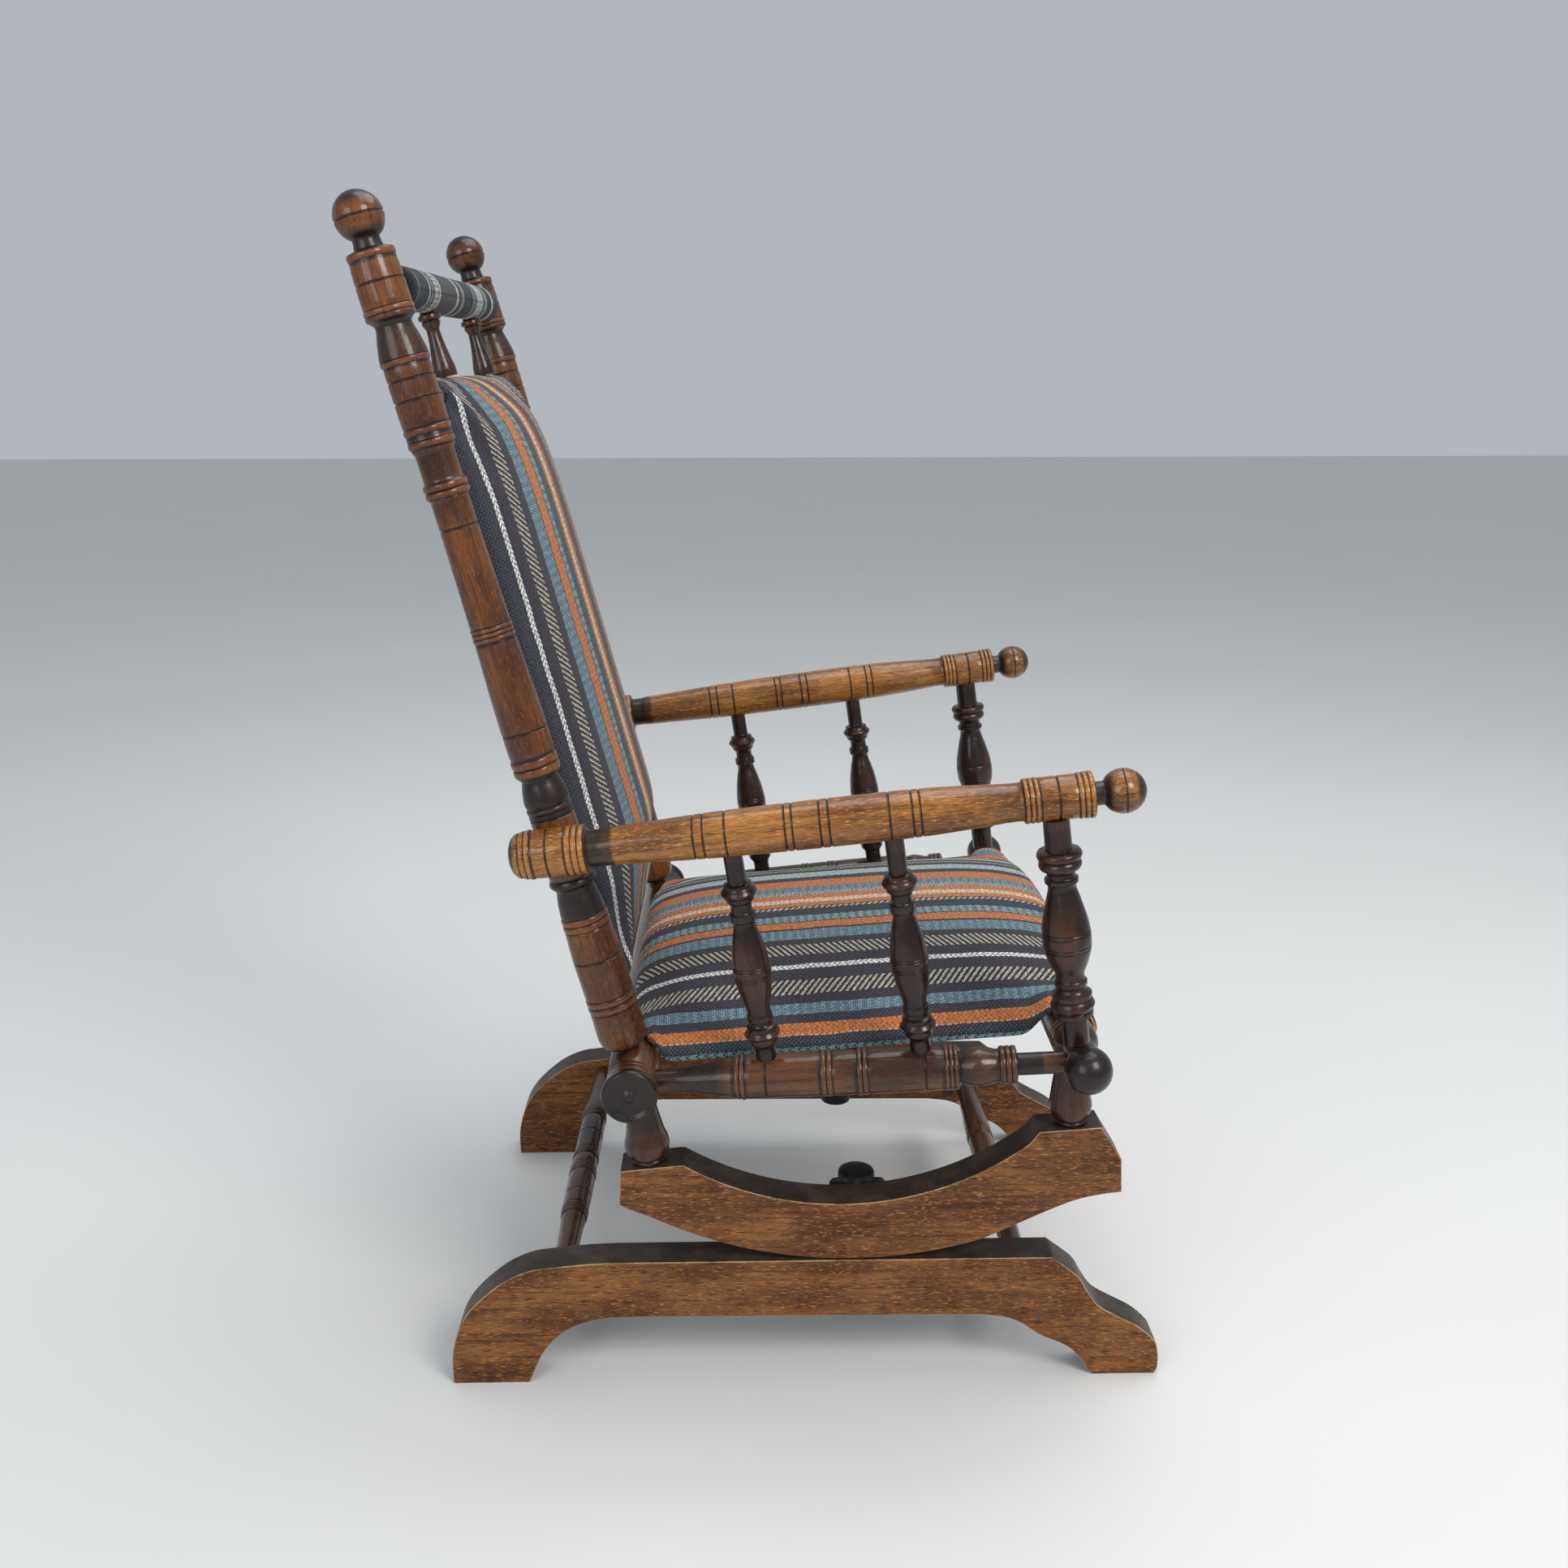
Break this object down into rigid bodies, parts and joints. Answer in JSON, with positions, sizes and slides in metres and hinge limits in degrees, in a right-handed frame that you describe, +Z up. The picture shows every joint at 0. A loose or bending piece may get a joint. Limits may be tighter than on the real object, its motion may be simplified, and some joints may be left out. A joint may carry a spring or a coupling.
{
  "type": "platform rocking chair",
  "caption": "Turned wooden armchair with striped woven seat and back that rolls on a flat-topped base, held down by a coil spring on each side.",
  "frame": {"origin": "on the floor, in the middle of the chair's bounding box", "axes": "+Z up, -Y the way the sitter faces, +X the sitter's left"},
  "size_m": [0.6374, 0.7033, 1.063],
  "materials": {
    "base_wood": "satin dark brown stain with horizontal fleck grain, worn pale along the top edges",
    "post_wood": "satin red-brown polish, nearly black in the turned grooves",
    "arm_wood": "satin honey brown worn by hands, flecked grain",
    "rail_wood": "satin dark brown polish, with nearly black ends",
    "dark_wood": "satin, very dark brown polish",
    "iron": "dark, slightly rough iron",
    "webbing": "coarse jute weave",
    "fabric": "flat-woven wool in lengthwise stripes of charcoal, orange, blue and cream",
    "roll_fabric": "flat-woven wool in fine rings of black, white and grey"
  },
  "bodies": {
    "base": {"base_side_right": "base_wood", "base_side_left": "base_wood", "base_stretcher_rear": "dark_wood", "base_stretcher_front": "dark_wood", "spring_bracket_lower_right": "iron", "spring_bracket_lower_right_screw_rear": "iron", "spring_bracket_lower_right_screw_front": "iron", "spring_bracket_lower_left": "iron", "spring_bracket_lower_left_screw_rear": "iron", "spring_bracket_lower_left_screw_front": "iron"},
    "rolling_link": {"seat_cross_rail": "dark_wood"},
    "rocking_frame": {"rocker_right": "base_wood", "rocker_left": "base_wood", "leg_rear_right": "dark_wood", "leg_rear_left": "dark_wood", "leg_front_right": "dark_wood", "leg_front_left": "dark_wood", "seat_rail_rear": "rail_wood", "seat_rail_front": "rail_wood", "seat_rail_right": "rail_wood", "seat_rail_left": "rail_wood", "back_post_right": "post_wood", "back_post_left": "post_wood", "head_roll_core": "dark_wood", "head_roll_cover": "roll_fabric", "crest_spindle_right": "dark_wood", "crest_spindle_left": "dark_wood", "back_panel_top_rail": "dark_wood", "back_panel_bottom_rail": "dark_wood", "back_pad": "fabric", "arm_right": "arm_wood", "arm_screw_right": "iron", "arm_post_front_right": "dark_wood", "arm_spindle_rear_right": "dark_wood", "arm_spindle_middle_right": "dark_wood", "arm_left": "arm_wood", "arm_screw_left": "iron", "arm_post_front_left": "dark_wood", "arm_spindle_rear_left": "dark_wood", "arm_spindle_middle_left": "dark_wood", "seat_webbing": "webbing", "seat_cushion": "fabric", "spring_bracket_upper_right": "iron", "spring_bracket_upper_right_screw_rear": "iron", "spring_bracket_upper_right_screw_front": "iron", "spring_bracket_upper_left": "iron", "spring_bracket_upper_left_screw_rear": "iron", "spring_bracket_upper_left_screw_front": "iron"},
    "springs": {"coil_spring_right": "iron", "coil_spring_left": "iron"}
  },
  "joints": [
    {"name": "rock_angle", "type": "hinge", "parent": "base", "child": "rolling_link", "pos_m": [0, -0.0564, 0.5285], "axis": [-1, 0, 0], "range_deg": [-10, 10], "stiffness_Nm_per_rad": 150, "springref_deg": 0.95},
    {"name": "roll_turn", "type": "hinge", "parent": "rolling_link", "child": "rocking_frame", "pos_m": [0, -0.0564, 0.3285], "axis": [1, 0, 0], "range_deg": [-20, 20], "stiffness_Nm_per_rad": 150, "springref_deg": 1.89},
    {"name": "spring_lean", "type": "hinge", "parent": "base", "child": "springs", "pos_m": [0, -0.0564, 0.1285], "axis": [1, 0, 0], "range_deg": [-10, 10], "deforming": ["coil_spring_right", "coil_spring_left"]}
  ],
  "couplings": [
    {"joint": "roll_turn", "follows": "rock_angle", "ratio": 2},
    {"joint": "spring_lean", "follows": "rock_angle", "ratio": 1}
  ]
}
